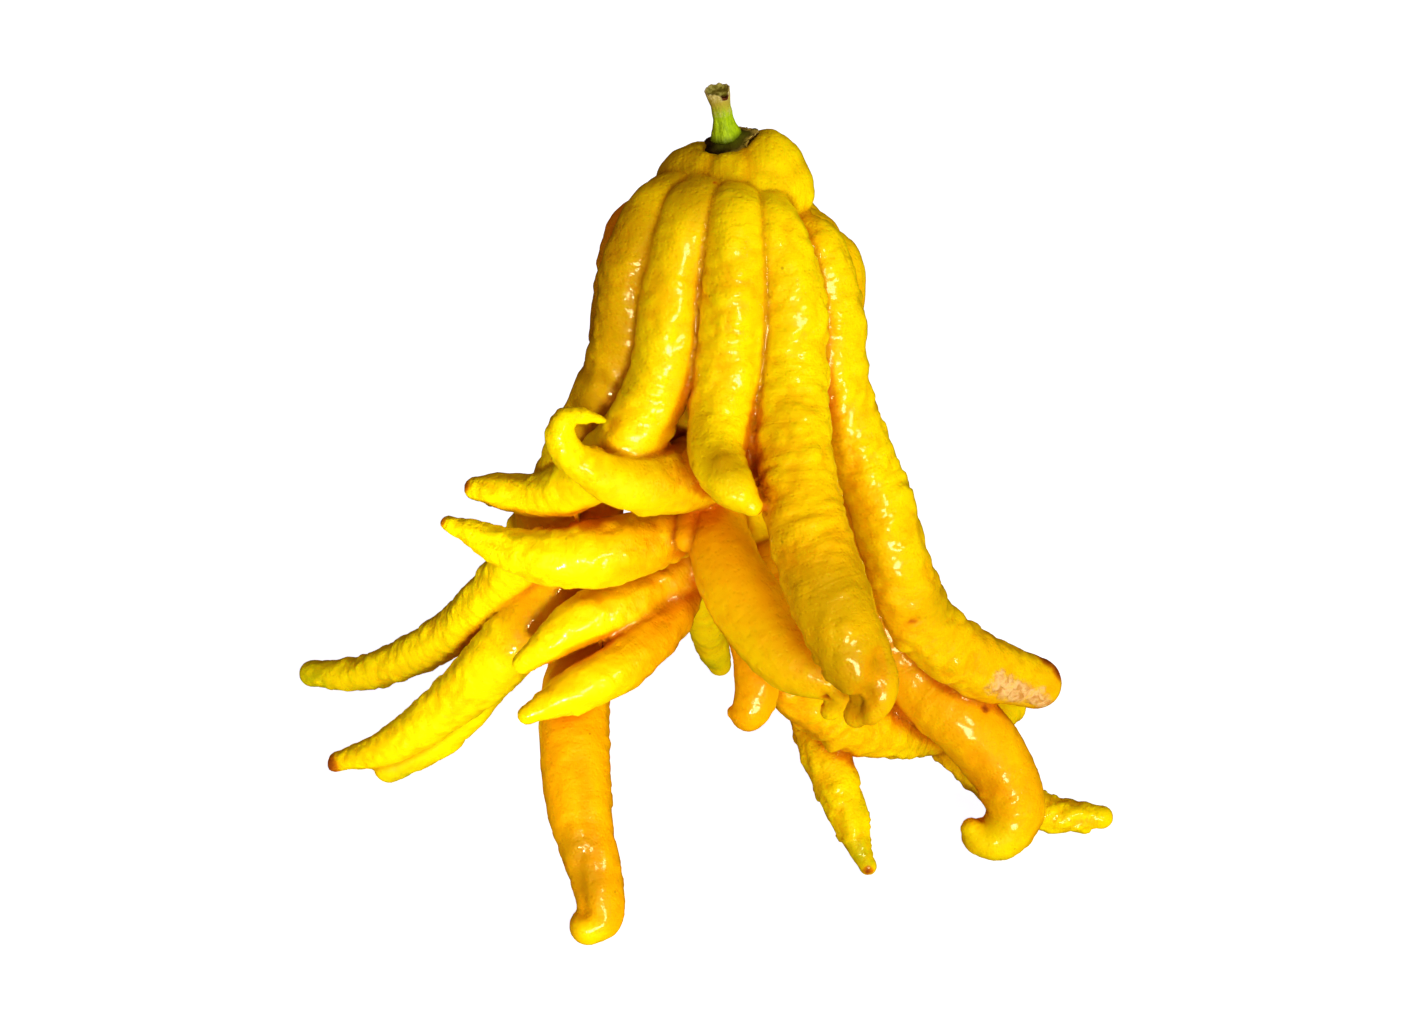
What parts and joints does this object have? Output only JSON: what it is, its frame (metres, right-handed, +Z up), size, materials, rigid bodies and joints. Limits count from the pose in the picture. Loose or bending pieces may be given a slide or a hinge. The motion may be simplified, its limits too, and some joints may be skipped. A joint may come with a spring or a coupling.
{
  "type": "buddha's hand citron",
  "caption": "Fingered citron standing on its fingertips: a ribbed shoulder that parts into long curled fingers, with a dark calyx and a short cut stalk.",
  "frame": {"origin": "middle of the footprint, on the surface that the fingertips stand on", "axes": "+Z up along the fruit towards its stalk; +X towards the side of the two fingers that sweep out lowest, across the widest spread; the two curled fingers and the open hand face -Y"},
  "size_m": [0.2304, 0.1707, 0.1973],
  "materials": {
    "peel": "waxy, glossy citrus peel with fine pores",
    "calyx": "dry, matt",
    "stalk": "fresh green bark, satin"
  },
  "bodies": {
    "root": {"fruit": "peel", "calyx": "calyx", "stalk": "stalk"}
  },
  "joints": []
}
